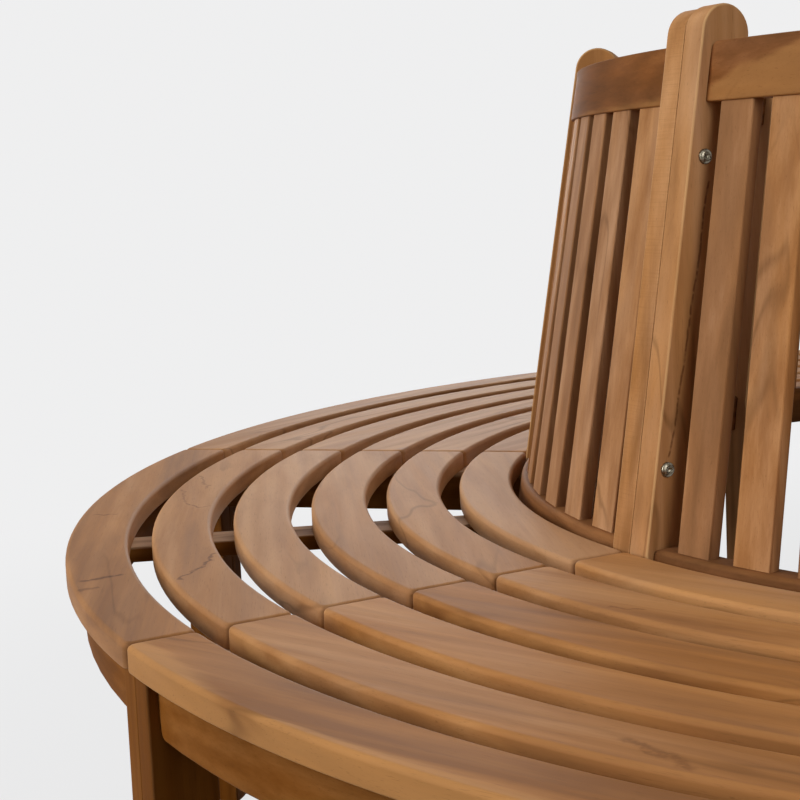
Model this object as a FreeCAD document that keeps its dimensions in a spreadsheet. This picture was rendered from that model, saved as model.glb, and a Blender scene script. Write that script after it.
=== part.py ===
import FreeCAD, Part
import Sketcher
import os

# Round wooden bench that stands in a full circle about a tree trunk.
# Eight equal sections meet at joints, where a front leg pair, a back leg pair and a bearer pair
# lie side by side, one half of each pair from either section, and bolts draw the halves together.
# The origin is on the floor at the centre of the circle, +Z points up, and joint 1 lies on +X.

FULL_TURN = 360
QUARTER_TURN = 90

# Driving sizes in millimetres, apart from the counts, the share and the angle in degrees.
SIZES = [
    ("section_count", 8, "equal sections in the circle"),
    ("seat_radius", 1100, "centre to the outer edge of the seat"),
    ("seat_height", 440, "floor to the top of the seat"),
    ("ring_count", 6, "rings of slats in the seat"),
    ("slat_width", 55, "width of a seat slat"),
    ("slat_gap", 21, "space between two rings"),
    ("slat_thickness", 20, "thickness of a seat slat"),
    ("slat_end_gap", 1.2, "hairline between the slat ends of two sections"),
    ("leg_width", 25, "width of one half of a leg pair"),
    ("leg_depth", 50, "depth of every leg, along the radius"),
    ("leg_seam", 0.4, "hairline between the halves of a pair"),
    ("front_leg_setback", 6, "edge of the seat to the face of the front legs"),
    ("back_leg_clearance", 4, "inner edge of the seat to the face of the back legs"),
    ("back_rise", 457, "seat to the top of the back legs"),
    ("back_lean", 9.4, "lean of the whole back from upright"),
    ("frame_height", 46, "height of aprons and bearers"),
    ("apron_thickness", 25, "thickness of the curved aprons"),
    ("apron_setback", 14, "edge of the seat to the face of the aprons"),
    ("batten_width", 45, "width of the batten under the middle of a section"),
    ("batten_thickness", 15, "thickness of that batten"),
    ("batten_clearance", 0.3, "batten end to the curved board it meets"),
    ("rail_height", 50, "height of both back rails"),
    ("rail_thickness", 25, "thickness of both back rails, level with the floor"),
    ("bottom_rail_clearance", 11, "inner edge of the seat to the bottom rail's face, at seat height"),
    ("top_rail_clearance", 14, "inner edge of the seat to the top rail's face, taken down to seat height"),
    ("bottom_rail_rise", 4, "seat to the top of the bottom rail"),
    ("top_rail_drop", 32, "top of the back legs to the top of the top rail"),
    ("back_slat_count", 7, "upright slats in the back of a section"),
    ("back_slat_width", 38, "width of an upright slat"),
    ("back_slat_thickness", 12.5, "thickness of an upright slat, level with the floor"),
    ("back_slat_setback", 6, "face of the bottom rail to the face of the upright slats"),
    ("end_space_share", 0.88, "space beside a leg as a share of the space between upright slats"),
    ("bolt_diameter", 6, "shank of a joint bolt"),
    ("bolt_clearance", 0.3, "bolt shank to the wood all round"),
    ("bolt_head_diameter", 13, "head of a bolt and of its cap nut"),
    ("bolt_head_height", 3.5, "height of a bolt head and of its cap nut"),
    ("upper_bolt_inset", 16, "face of a back leg to the axis of its upper bolt"),
    ("lower_bolt_inset", 12, "face of a back leg to the axis of its lower bolt"),
    ("upper_bolt_rise", 330, "seat to the upper bolt of the back legs"),
    ("lower_bolt_rise", 70, "seat to the lower bolt of the back legs"),
]

# Places that follow from the driving sizes. Radii are taken at seat height where a face leans.
PLACES = [
    ("section_angle", f"{FULL_TURN} / Sizes.section_count"),
    ("past_the_edge", "2 * Sizes.seat_radius"),
    ("slat_pitch", "Sizes.slat_width + Sizes.slat_gap"),
    ("seat_inner_radius", "Sizes.seat_radius - Sizes.ring_count * Places.slat_pitch + Sizes.slat_gap"),
    ("seat_underside", "Sizes.seat_height - Sizes.slat_thickness"),
    ("frame_underside", "Places.seat_underside - Sizes.frame_height"),
    ("pair_half_width", "Sizes.leg_seam / 2 + Sizes.leg_width"),
    ("slope", "tan(Sizes.back_lean * 1 deg)"),
    ("front_leg_face", "Sizes.seat_radius - Sizes.front_leg_setback"),
    ("front_leg_back", "Places.front_leg_face - Sizes.leg_depth"),
    ("back_leg_face", "Places.seat_inner_radius - Sizes.back_leg_clearance"),
    ("back_leg_back", "Places.back_leg_face - Sizes.leg_depth"),
    ("apron_outer_radius", "Sizes.seat_radius - Sizes.apron_setback"),
    ("apron_inner_radius", "Places.apron_outer_radius - Sizes.apron_thickness"),
    ("bottom_rail_face", "Places.seat_inner_radius - Sizes.bottom_rail_clearance"),
    ("top_rail_face", "Places.seat_inner_radius - Sizes.top_rail_clearance"),
    ("bottom_rail_top", "Sizes.seat_height + Sizes.bottom_rail_rise"),
    ("bottom_rail_underside", "Places.bottom_rail_top - Sizes.rail_height"),
    ("back_top", "Sizes.seat_height + Sizes.back_rise"),
    ("top_rail_top", "Places.back_top - Sizes.top_rail_drop"),
    ("top_rail_underside", "Places.top_rail_top - Sizes.rail_height"),
    ("back_slat_face", "Places.bottom_rail_face - Sizes.back_slat_setback"),
    ("back_slat_back", "Places.back_slat_face - Sizes.back_slat_thickness"),
    ("batten_underside", "Places.seat_underside - Sizes.batten_thickness"),
    ("leg_half_angle", "asin(Places.pair_half_width / Places.back_slat_face) / 1 deg"),
    ("back_slat_angle", "2 * asin(Sizes.back_slat_width / 2 / Places.back_slat_face) / 1 deg"),
    ("back_slats_total", "Sizes.back_slat_count * Places.back_slat_angle"),
    ("back_slat_room", "Places.section_angle - 2 * Places.leg_half_angle - Places.back_slats_total"),
    ("back_slat_space", "Places.back_slat_room / (Sizes.back_slat_count - 1 + 2 * Sizes.end_space_share)"),
    ("back_slat_pitch", "Places.back_slat_angle + Places.back_slat_space"),
    ("back_slat_spread", "(Sizes.back_slat_count - 1) * Places.back_slat_pitch"),
]

# Numbers by which a sketch names its own origin and the points of its lines and circles.
SHEET_ORIGIN = -1
ROOT_POINT = 1
START = 1
END = 2
CENTRE = 3

# A bolt, its nut and its hole have few flat sides in place of a round one.
BOLT_SIDES = 6

document = FreeCAD.newDocument("tree_bench")
sizes = document.addObject("Spreadsheet::Sheet", "Sizes")
places = document.addObject("Spreadsheet::Sheet", "Places")


def fill_sheets():
    for row, (alias, value, note) in enumerate(SIZES, 1):
        sizes.set(f"A{row}", note)
        sizes.set(f"B{row}", str(value))
        sizes.setAlias(f"B{row}", alias)
    document.recompute()
    for row, (alias, formula) in enumerate(PLACES, 1):
        places.set(f"B{row}", "=" + formula.replace("Places.", ""))
        places.setAlias(f"B{row}", alias)
        document.recompute()


def number(expression):
    """The value that an expression has with the present sizes."""
    return float(sizes.evalExpression(expression))


def count(alias):
    return int(round(number("Sizes." + alias)))


def new_body(node):
    body = document.addObject("PartDesign::Body", node)
    body.Label = node
    return body


def origin_part(body, role):
    return next(part for part in body.Origin.OriginFeatures if part.Role == role)


def new_sketch(body, name, plane, offset=None):
    """A sketch on one of the body's own origin planes, moved along the plane's normal by offset."""
    sketch = body.newObject("Sketcher::SketchObject", f"{body.Name}_{name}")
    sketch.AttachmentSupport = [(origin_part(body, plane), "")]
    sketch.MapMode = "FlatFace"
    if offset:
        sketch.setExpression("AttachmentOffset.Base.z", offset)
    return sketch


def measure(sketch, kind, first, second, expression):
    """A dimension between two points of a sketch, bound to an expression."""
    constraint = Sketcher.Constraint(kind, *first, *second, number(expression))
    index = sketch.addConstraint(constraint)
    sketch.setExpression(f"Constraints[{index}]", expression)


def pin_point(sketch, point, across, up):
    measure(sketch, "DistanceX", (SHEET_ORIGIN, ROOT_POINT), point, across)
    measure(sketch, "DistanceY", (SHEET_ORIGIN, ROOT_POINT), point, up)


def draw_outline(sketch, corners):
    """A closed outline of straight edges, each corner a pair of expressions."""
    points = [FreeCAD.Vector(number(across), number(up), 0) for across, up in corners]
    total = len(points)
    edges = [Part.LineSegment(points[i], points[(i + 1) % total]) for i in range(total)]
    sketch.addGeometry(edges, False)
    for i in range(total):
        sketch.addConstraint(Sketcher.Constraint("Coincident", i, END, (i + 1) % total, START))
    for i, (across, up) in enumerate(corners):
        pin_point(sketch, (i, START), across, up)


def leaning(radius, height):
    """A corner on a face that leans with the back, from its radius at seat height."""
    return f"{radius} - ({height} - Sizes.seat_height) * Places.slope", height


def revolve_ring(body, corners):
    sketch = new_sketch(body, "profile", "XZ_Plane")
    draw_outline(sketch, corners)
    document.recompute()
    ring = body.newObject("PartDesign::Revolution", f"{body.Name}_ring")
    ring.Profile = sketch
    ring.ReferenceAxis = (sketch, ["V_Axis"])
    ring.Angle = FULL_TURN
    document.recompute()
    return ring


def round_pattern(body, features, occurrences, angle=None):
    pattern = body.newObject("PartDesign::PolarPattern", f"{body.Name}_round")
    pattern.Originals = features
    pattern.Axis = (origin_part(body, "Z_Axis"), [""])
    if angle:
        pattern.setExpression("Angle", angle)
    pattern.setExpression("Occurrences", occurrences)
    body.Tip = pattern
    document.recompute()
    return pattern


def cut_at_joints(body, reach, half_width):
    """Parts a full ring into one piece for each section by a slot along every joint."""
    before = body.Shape.Volume
    sketch = new_sketch(body, "joint", "XY_Plane")
    corners = [("0", f"-({half_width})"), (reach, f"-({half_width})"), (reach, half_width), ("0", half_width)]
    draw_outline(sketch, corners)
    slot = body.newObject("PartDesign::Pocket", f"{body.Name}_slot")
    slot.Profile = sketch
    slot.Type = "ThroughAll"
    slot.SideType = "Symmetric"
    document.recompute()
    round_pattern(body, [slot], "Sizes.section_count")
    if not body.Shape.Volume < before:
        raise RuntimeError(f"{body.Label}: the joint slots cut nothing")


def seat_ring(place):
    """One ring of the seat: a flat curved slat for each section, whole from joint to joint."""
    body = new_body(f"seat_ring_{place}")
    outer = f"Sizes.seat_radius - {place - 1} * Places.slat_pitch"
    inner = f"{outer} - Sizes.slat_width"
    corners = [
        (inner, "Places.seat_underside"),
        (outer, "Places.seat_underside"),
        (outer, "Sizes.seat_height"),
        (inner, "Sizes.seat_height"),
    ]
    revolve_ring(body, corners)
    cut_at_joints(body, "Places.past_the_edge", "Sizes.slat_end_gap / 2")
    return body


def aprons():
    """The curved boards under the seat's edge, from leg to leg."""
    body = new_body("aprons")
    corners = [
        ("Places.apron_inner_radius", "Places.frame_underside"),
        ("Places.apron_outer_radius", "Places.frame_underside"),
        ("Places.apron_outer_radius", "Places.seat_underside"),
        ("Places.apron_inner_radius", "Places.seat_underside"),
    ]
    revolve_ring(body, corners)
    cut_at_joints(body, "Places.past_the_edge", "Places.pair_half_width")
    return body


def back_rails(rail):
    """Curved rails whose faces lean with the back, between the back legs."""
    body = new_body(f"{rail}s")
    face, underside, top = (f"Places.{rail}_{place}" for place in ("face", "underside", "top"))
    back = f"{face} - Sizes.rail_thickness"
    corners = [
        leaning(back, underside),
        leaning(face, underside),
        leaning(face, top),
        leaning(back, top),
    ]
    revolve_ring(body, corners)
    cut_at_joints(body, "Places.past_the_edge", "Places.pair_half_width")
    return body


def turn_to(body, angle):
    """Turns a body that was drawn on +X about the centre of the bench."""
    body.Placement = FreeCAD.Placement(FreeCAD.Vector(), FreeCAD.Rotation(FreeCAD.Vector(0, 0, 1), 0))
    body.setExpression("Placement.Rotation.Angle", angle)


def pad_pair(body, sketch):
    """Gives a side outline the width of one half, and mirrors it across the joint."""
    half = body.newObject("PartDesign::Pad", f"{body.Name}_half")
    half.Profile = sketch
    half.setExpression("Length", "Sizes.leg_width")
    document.recompute()
    return half


def mirror_pair(body, features):
    mirror = body.newObject("PartDesign::Mirrored", f"{body.Name}_pair")
    mirror.Originals = features
    mirror.MirrorPlane = (origin_part(body, "XZ_Plane"), [""])
    body.Tip = mirror
    document.recompute()


def draw_polygon(sketch, across, up, diameter):
    """A regular polygon inside a circle, with one corner straight above its centre."""
    sides = BOLT_SIDES
    centre = FreeCAD.Vector(number(across), number(up), 0)
    radius = number(diameter) / 2
    upright = FreeCAD.Vector(0, radius, 0)
    turns = [FreeCAD.Rotation(FreeCAD.Vector(0, 0, 1), i * FULL_TURN / sides) for i in range(sides)]
    corners = [centre + turn.multVec(upright) for turn in turns]
    first = sketch.GeometryCount
    sketch.addGeometry([Part.LineSegment(corners[i], corners[(i + 1) % sides]) for i in range(sides)], False)
    circle = sketch.addGeometry(Part.Circle(centre, FreeCAD.Vector(0, 0, 1), radius), True)
    pin_point(sketch, (circle, CENTRE), across, up)
    index = sketch.addConstraint(Sketcher.Constraint("Diameter", circle, number(diameter)))
    sketch.setExpression(f"Constraints[{index}]", diameter)
    for i in range(sides):
        following = first + (i + 1) % sides
        sketch.addConstraint(Sketcher.Constraint("Coincident", first + i, END, following, START))
        sketch.addConstraint(Sketcher.Constraint("PointOnObject", first + i, START, circle))
        if i:
            sketch.addConstraint(Sketcher.Constraint("Equal", first, first + i))
    sketch.addConstraint(Sketcher.Constraint("Vertical", circle, CENTRE, first, START))


def bolt_places():
    """Where the bolts cross the back legs, as radius and height."""
    for bolt in ("upper_bolt", "lower_bolt"):
        radius = f"Places.back_leg_face - Sizes.{bolt}_inset"
        yield leaning(radius, f"(Sizes.seat_height + Sizes.{bolt}_rise)")


def front_legs(joint):
    """Two upright legs under the seat's edge, one half of the pair from each section."""
    body = new_body(f"front_legs_{joint}")
    sketch = new_sketch(body, "side", "XZ_Plane", "Sizes.leg_seam / 2")
    corners = [
        ("Places.front_leg_back", "0"),
        ("Places.front_leg_face", "0"),
        ("Places.front_leg_face", "Places.seat_underside"),
        ("Places.front_leg_back", "Places.seat_underside"),
    ]
    draw_outline(sketch, corners)
    mirror_pair(body, [pad_pair(body, sketch)])
    turn_to(body, f"{joint - 1} * Places.section_angle")
    return body


def draw_back_leg(sketch):
    """Side outline: upright to the seat, then leaning inwards, with a half-round top."""
    radius = "Sizes.leg_depth * cos(Sizes.back_lean * 1 deg) / 2"
    middle = "Places.back_leg_face - Sizes.leg_depth / 2"
    crown_height = f"(Places.back_top - {radius})"
    foot_back = FreeCAD.Vector(number("Places.back_leg_back"), 0, 0)
    foot_front = FreeCAD.Vector(number("Places.back_leg_face"), 0, 0)
    rise = FreeCAD.Vector(0, number("Sizes.seat_height"), 0)
    crown_across, crown_up = (number(part) for part in leaning(middle, crown_height))
    crown = FreeCAD.Vector(crown_across, crown_up, 0)
    lean = number("Sizes.back_lean")
    out = FreeCAD.Rotation(FreeCAD.Vector(0, 0, 1), lean).multVec(FreeCAD.Vector(number(radius), 0, 0))
    up = FreeCAD.Rotation(FreeCAD.Vector(0, 0, 1), QUARTER_TURN).multVec(out)
    edges = [
        Part.LineSegment(foot_back, foot_front),
        Part.LineSegment(foot_front, foot_front + rise),
        Part.LineSegment(foot_front + rise, crown + out),
        Part.Arc(crown + out, crown + up, crown - out),
        Part.LineSegment(crown - out, foot_back + rise),
        Part.LineSegment(foot_back + rise, foot_back),
    ]
    foot, front, front_lean, top, back_lean, back = range(len(edges))
    sketch.addGeometry(edges, False)
    sketch.addConstraint(Sketcher.Constraint("Coincident", foot, END, front, START))
    sketch.addConstraint(Sketcher.Constraint("Coincident", front, END, front_lean, START))
    sketch.addConstraint(Sketcher.Constraint("Tangent", front_lean, END, top, START))
    sketch.addConstraint(Sketcher.Constraint("Tangent", top, END, back_lean, START))
    sketch.addConstraint(Sketcher.Constraint("Coincident", back_lean, END, back, START))
    sketch.addConstraint(Sketcher.Constraint("Coincident", back, END, foot, START))
    pin_point(sketch, (foot, START), "Places.back_leg_back", "0")
    pin_point(sketch, (front, START), "Places.back_leg_face", "0")
    pin_point(sketch, (front, END), "Places.back_leg_face", "Sizes.seat_height")
    pin_point(sketch, (back, START), "Places.back_leg_back", "Sizes.seat_height")
    pin_point(sketch, (top, CENTRE), *leaning(middle, crown_height))


def back_legs(joint):
    """Two back legs with holes for the joint bolts, one half of the pair from each section."""
    body = new_body(f"back_legs_{joint}")
    sketch = new_sketch(body, "side", "XZ_Plane", "Sizes.leg_seam / 2")
    draw_back_leg(sketch)
    half = pad_pair(body, sketch)
    before = body.Shape.Volume
    holes = new_sketch(body, "holes", "XZ_Plane")
    for across, up in bolt_places():
        draw_polygon(holes, across, up, "Sizes.bolt_diameter + 2 * Sizes.bolt_clearance")
    drilled = body.newObject("PartDesign::Pocket", f"{body.Name}_drilled")
    drilled.Profile = holes
    drilled.Type = "ThroughAll"
    drilled.SideType = "Symmetric"
    document.recompute()
    if not body.Shape.Volume < before:
        raise RuntimeError(f"{body.Label}: the bolt holes cut nothing")
    mirror_pair(body, [half, drilled])
    turn_to(body, f"{joint - 1} * Places.section_angle")
    return body


def seat_bearers(joint):
    """Two bars under the slat ends, from the front legs to the back legs."""
    body = new_body(f"seat_bearers_{joint}")
    sketch = new_sketch(body, "side", "XZ_Plane", "Sizes.leg_seam / 2")
    corners = [
        ("Places.back_leg_face", "Places.frame_underside"),
        ("Places.front_leg_back", "Places.frame_underside"),
        ("Places.front_leg_back", "Places.seat_underside"),
        ("Places.back_leg_face", "Places.seat_underside"),
    ]
    draw_outline(sketch, corners)
    mirror_pair(body, [pad_pair(body, sketch)])
    turn_to(body, f"{joint - 1} * Places.section_angle")
    return body


def board(body, corners, width):
    """A straight board with the side outline given, centred across its width."""
    sketch = new_sketch(body, "side", "XZ_Plane")
    draw_outline(sketch, corners)
    pad = body.newObject("PartDesign::Pad", f"{body.Name}_board")
    pad.Profile = sketch
    pad.SideType = "Symmetric"
    pad.setExpression("Length", width)
    document.recompute()
    return pad


def seat_batten(section):
    """The batten that ties the slats together under the middle of a section."""
    body = new_body(f"seat_batten_{section}")
    reach = "sqrt((Places.apron_inner_radius - Sizes.batten_clearance) ^ 2 - (Sizes.batten_width / 2) ^ 2)"
    inner = "Places.bottom_rail_face + Sizes.batten_clearance"
    corners = [
        leaning(inner, "Places.batten_underside"),
        (reach, "Places.batten_underside"),
        (reach, "Places.seat_underside"),
        leaning(inner, "Places.seat_underside"),
    ]
    board(body, corners, "Sizes.batten_width")
    turn_to(body, f"{section - 0.5} * Places.section_angle")
    return body


def back_slats(section):
    """The upright slats of one section, between its bottom rail and its top rail."""
    body = new_body(f"back_slats_{section}")
    corners = [
        leaning("Places.back_slat_back", "Places.bottom_rail_top"),
        leaning("Places.back_slat_face", "Places.bottom_rail_top"),
        leaning("Places.back_slat_face", "Places.top_rail_underside"),
        leaning("Places.back_slat_back", "Places.top_rail_underside"),
    ]
    first = board(body, corners, "Sizes.back_slat_width")
    round_pattern(body, [first], "Sizes.back_slat_count", "Places.back_slat_spread")
    turn_to(body, f"{section - 0.5} * Places.section_angle - Places.back_slat_spread / 2")
    return body


def pad_discs(body, name, diameter, offset, length, reverse=False):
    """Round pieces across the joint at every bolt of one leg pair, drawn with few faces."""
    sketch = new_sketch(body, name, "XZ_Plane", offset)
    for across, up in bolt_places():
        draw_polygon(sketch, across, up, diameter)
    pad = body.newObject("PartDesign::Pad", f"{body.Name}_{name}_pad")
    pad.Profile = sketch
    pad.Reversed = reverse
    pad.setExpression("Length", length)
    document.recompute()
    return pad


def joint_bolts():
    """The bolts that draw the back leg pairs together, head and shank."""
    body = new_body("joint_bolts")
    outside = "-Places.pair_half_width"
    shank = pad_discs(body, "shank", "Sizes.bolt_diameter", outside, "2 * Places.pair_half_width")
    head = pad_discs(body, "head", "Sizes.bolt_head_diameter", outside, "Sizes.bolt_head_height", True)
    round_pattern(body, [shank, head], "Sizes.section_count")
    return body


def cap_nuts():
    """The nuts on the other end of the bolts, flat on the wood."""
    body = new_body("cap_nuts")
    outside = "Places.pair_half_width"
    nut = pad_discs(body, "nut", "Sizes.bolt_head_diameter", outside, "Sizes.bolt_head_height")
    round_pattern(body, [nut], "Sizes.section_count")
    return body


def build_bench():
    around = range(1, count("section_count") + 1)
    pieces = [seat_ring(place) for place in range(1, count("ring_count") + 1)]
    pieces += [front_legs(joint) for joint in around]
    pieces += [back_legs(joint) for joint in around]
    pieces += [seat_bearers(joint) for joint in around]
    pieces += [seat_batten(section) for section in around]
    pieces += [back_slats(section) for section in around]
    pieces.append(aprons())
    pieces += [back_rails("bottom_rail"), back_rails("top_rail")]
    pieces.append(joint_bolts())
    pieces.append(cap_nuts())
    return pieces


def check(pieces):
    failed = [item.Label for item in document.Objects if "Invalid" in item.State or "Error" in item.State]
    for piece in pieces:
        if piece.Shape.isNull() or not piece.Shape.isValid() or not piece.Shape.Solids:
            failed.append(piece.Label)
    if failed:
        raise RuntimeError("These did not build: " + ", ".join(failed))


def write(pieces):
    os.makedirs("parts", exist_ok=True)
    for piece in pieces:
        piece.Shape.exportStep(os.path.join("parts", piece.Label + ".step"))
        print(piece.Label, len(piece.Shape.Solids), round(piece.Shape.Volume))


fill_sheets()
bench = build_bench()
document.recompute()
check(bench)
write(bench)
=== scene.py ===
import random
from math import asin, cos, pi, radians, sin, tan

import bmesh
import bpy
from mathutils import Matrix, Vector


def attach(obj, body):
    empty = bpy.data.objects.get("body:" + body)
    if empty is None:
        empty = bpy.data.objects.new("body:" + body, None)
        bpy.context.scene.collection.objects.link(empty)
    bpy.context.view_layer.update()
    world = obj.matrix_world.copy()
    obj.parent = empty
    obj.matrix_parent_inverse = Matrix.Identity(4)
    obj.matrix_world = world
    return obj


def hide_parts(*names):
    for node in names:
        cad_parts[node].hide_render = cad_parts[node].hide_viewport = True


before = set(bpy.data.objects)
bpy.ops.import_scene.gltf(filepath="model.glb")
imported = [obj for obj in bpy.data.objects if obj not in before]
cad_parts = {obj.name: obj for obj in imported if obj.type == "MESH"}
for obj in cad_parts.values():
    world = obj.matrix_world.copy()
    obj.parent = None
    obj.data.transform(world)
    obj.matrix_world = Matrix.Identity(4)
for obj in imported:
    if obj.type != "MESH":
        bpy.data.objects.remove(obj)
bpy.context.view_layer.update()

context = bpy.context

# ---------------------------------------------------------------------------------------------
# Seat slats: six rings of flat teak boards, sawn to a curve, eight boards end to end in a ring.
# Each is 55 mm wide and 20 mm thick, planed, with rounded top edges and softened end corners,
# and is screwed from below to the bearers and to the batten under its middle.

SECTIONS = 8
SECTION_ANGLE = 2 * pi / SECTIONS
RINGS = 6
SEAT_RADIUS = 1.100
SEAT_TOP = 0.440
SLAT_WIDTH = 0.055
SLAT_PITCH = 0.076
SLAT_THICKNESS = 0.020
SLAT_END_GAP = 0.0004
SLAT_TOP_ROUNDING = 0.0042
SLAT_CORNER_ROUNDING = 0.0070
SLAT_BOTTOM_ROUNDING = 0.0015
NEARLY = 1e-5  # how close to a face's plane an edge on that face lies


def new_board_mesh():
    """A bmesh with a place for what the wood finish reads: where each point lay in the plank."""
    mesh = bmesh.new()
    mesh.verts.layers.float_vector.new("plank")
    mesh.verts.layers.float_vector.new("tint")
    mesh.verts.layers.float.new("arris")
    mesh.faces.layers.int.new("rounded")
    return mesh


def round_over(mesh, edges, width, segments=3):
    """Rounds edges over as a router does and remembers the faces that it makes."""
    made = bmesh.ops.bevel(
        mesh, geom=list(edges), offset=width, offset_type="OFFSET", segments=segments,
        profile=0.5, affect="EDGES", clamp_overlap=True, material=-1,
    )
    rounded = mesh.faces.layers.int["rounded"]
    for face in made["faces"]:
        face[rounded] = 1


def sharp_edges(mesh, test, angle=radians(35)):
    """The edges that still meet at an angle and whose middle passes the test."""
    chosen = []
    for edge in mesh.edges:
        if len(edge.link_faces) == 2 and edge.calc_face_angle() > angle:
            if test((edge.verts[0].co + edge.verts[1].co) / 2, edge.verts[1].co - edge.verts[0].co):
                chosen.append(edge)
    return chosen


SAWN_FROM = ((-0.06, 0.06), (0, 40), (0.03, 0.14))  # in the log: across, along, from the heart
SAPWOOD_BORDERS = (-0.9, 0.05)
RUBBED_LINE_STOP = 0.011
END_GRAIN_DEPTH = 0.0025


def finish_board(mesh, chance, length="Y", look_and_light=None, upright=0, open_ends=False):
    """Gives every point its place in the plank, its look with any painted light, and rubbed edges.

    length is the axis that the board runs along, Y for the curved ones. The look that is given
    holds brightness, warmth, sapwood and the slope of the sapwood's border, and is drawn by chance
    if it isn't given; it can also hold painted sheen, as on the seat boards of sections 3 and 4.
    The sapwood lies outwards, or with upright 1 at the lower side. With upright -1 it lies on top,
    where it is painted light: the tops of the bars are made paler as if lit from above.
    """
    across, along, through = {"X": (1, 0, 2), "Y": (0, 1, 2), "Z": (1, 2, 0)}[length]
    curved = length == "Y"
    plank = mesh.verts.layers.float_vector["plank"]
    tint = mesh.verts.layers.float_vector["tint"]
    arris = mesh.verts.layers.float["arris"]
    rounded = mesh.faces.layers.int["rounded"]
    start = Vector([chance.uniform(*limits) for limits in SAWN_FROM])
    looks = (chance.uniform(-1, 1), chance.uniform(-1, 1), chance.uniform(*SAPWOOD_BORDERS), 0.0)
    brightness, warmth, sapwood_and_lit_top, slope = look_and_light or looks
    middle = sum((vert.co for vert in mesh.verts), Vector()) / len(mesh.verts)
    side = {vert: vert.co.xy.length if curved else vert.co[across] for vert in mesh.verts}
    if upright:
        side = {vert: -upright * vert.co.z for vert in mesh.verts}
    low, high = min(side.values()), max(side.values())
    joint = Vector((-sin(SECTION_ANGLE / 2), cos(SECTION_ANGLE / 2)))
    past = {vert: joint.dot((vert.co.x, abs(vert.co.y))) for vert in mesh.verts}
    end = max(past.values())
    reach = max(abs(vert.co[along] - middle[along]) for vert in mesh.verts)
    for vert in mesh.verts:
        spot = vert.co - middle
        vert[plank] = Vector((spot[across], spot[along], spot[through])) + start
        edge = (side[vert] - low) / (high - low) - 0.5 + slope * spot[along] / reach
        vert[tint] = Vector((brightness, warmth, edge + sapwood_and_lit_top))
        vert[arris] = float(all(face[rounded] for face in vert.link_faces))
        if curved and past[vert] > end - RUBBED_LINE_STOP:
            vert[arris] = -float(open_ends and past[vert] > end - END_GRAIN_DEPTH)


def add_board(gathered, board, turn):
    """Copies a finished board into the mesh of its piece, turned to its place."""
    carrier = bpy.data.meshes.new("carrier")
    board.transform(turn)
    board.to_mesh(carrier)
    board.free()
    gathered.from_mesh(carrier)
    bpy.data.meshes.remove(carrier)


def make_piece(gathered, name, material, nodes):
    """Turns a gathered mesh into a piece that stands for the CAD nodes."""
    for face in gathered.faces:
        face.smooth = True
    mesh = bpy.data.meshes.new(name)
    gathered.to_mesh(mesh)
    gathered.free()
    mesh.materials.append(material)
    piece = bpy.data.objects.new(name, mesh)
    context.collection.objects.link(piece)
    shading = piece.modifiers.new("shading", "WEIGHTED_NORMAL")
    shading.weight = 80
    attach(piece, "root")
    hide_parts(*nodes)
    return piece


def curved_board(profile, joint_gap, steps=32):
    """A board that follows the circle of one section, its ends cut parallel to the joints."""
    mesh = new_board_mesh()
    corners = [mesh.verts.new((across, 0, up)) for across, up in profile]
    outline = [mesh.edges.new(pair) for pair in zip(corners, corners[1:] + corners[:1])]
    reach = SECTION_ANGLE * 16 / 15  # a little past either joint, before the ends are cut
    bmesh.ops.rotate(mesh, verts=corners, cent=(0, 0, 0),
                     matrix=Matrix.Rotation(-reach / 2, 3, "Z"))
    bmesh.ops.spin(mesh, geom=corners + outline, cent=(0, 0, 0), axis=(0, 0, 1), angle=reach,
                   steps=steps, use_merge=False, use_normal_flip=False, use_duplicate=False)
    for side in (1, -1):
        normal = Vector((-sin(SECTION_ANGLE / 2), side * cos(SECTION_ANGLE / 2), 0))
        bmesh.ops.bisect_plane(mesh, geom=mesh.verts[:] + mesh.edges[:] + mesh.faces[:], dist=1e-6,
                               plane_co=-normal * joint_gap / 2, plane_no=normal, clear_outer=True)
    bmesh.ops.holes_fill(mesh, edges=[edge for edge in mesh.edges if edge.is_boundary], sides=0)
    bmesh.ops.recalc_face_normals(mesh, faces=mesh.faces)
    return mesh


def add_math(tree, operation, *values):
    """A math node fed with sockets or fixed numbers."""
    node = tree.nodes.new("ShaderNodeMath")
    node.operation = operation
    for socket, value in zip(node.inputs, values):
        if isinstance(value, bpy.types.NodeSocket):
            tree.links.new(value, socket)
        else:
            socket.default_value = value
    return node.outputs[0]


def add_limits(tree, value, low, high, least=0.0, most=1.0):
    """A soft step from least to most where the value goes from low to high."""
    node = tree.nodes.new("ShaderNodeMapRange")
    node.interpolation_type = "SMOOTHSTEP"
    tree.links.new(value, node.inputs["Value"])
    for name, number in (("From Min", low), ("From Max", high), ("To Min", least),
                         ("To Max", most)):
        node.inputs[name].default_value = number
    return node.outputs["Result"]


def add_mix(tree, factor, first, second, kind="MIX"):
    """A colour mix fed with sockets or fixed colours."""
    node = tree.nodes.new("ShaderNodeMix")
    node.data_type = "RGBA"
    node.blend_type = kind
    for place, value in ((0, factor), (6, first), (7, second)):
        socket = node.inputs[place]
        if isinstance(value, bpy.types.NodeSocket):
            tree.links.new(value, socket)
        else:
            socket.default_value = value if isinstance(value, float) else (*value, 1)
    return node.outputs[2]


def add_noise(tree, vector, scale, detail, roughness=0.55, distortion=0.0):
    """Noise on the plank's coordinates, drawn out along the board by its three scales."""
    stretch = tree.nodes.new("ShaderNodeVectorMath")
    stretch.operation = "MULTIPLY"
    tree.links.new(vector, stretch.inputs[0])
    stretch.inputs[1].default_value = scale
    node = tree.nodes.new("ShaderNodeTexNoise")
    tree.links.new(stretch.outputs[0], node.inputs["Vector"])
    for name, number in (("Scale", 1.0), ("Detail", detail), ("Roughness", roughness),
                         ("Distortion", distortion)):
        node.inputs[name].default_value = number
    return node.outputs["Fac"]


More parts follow.
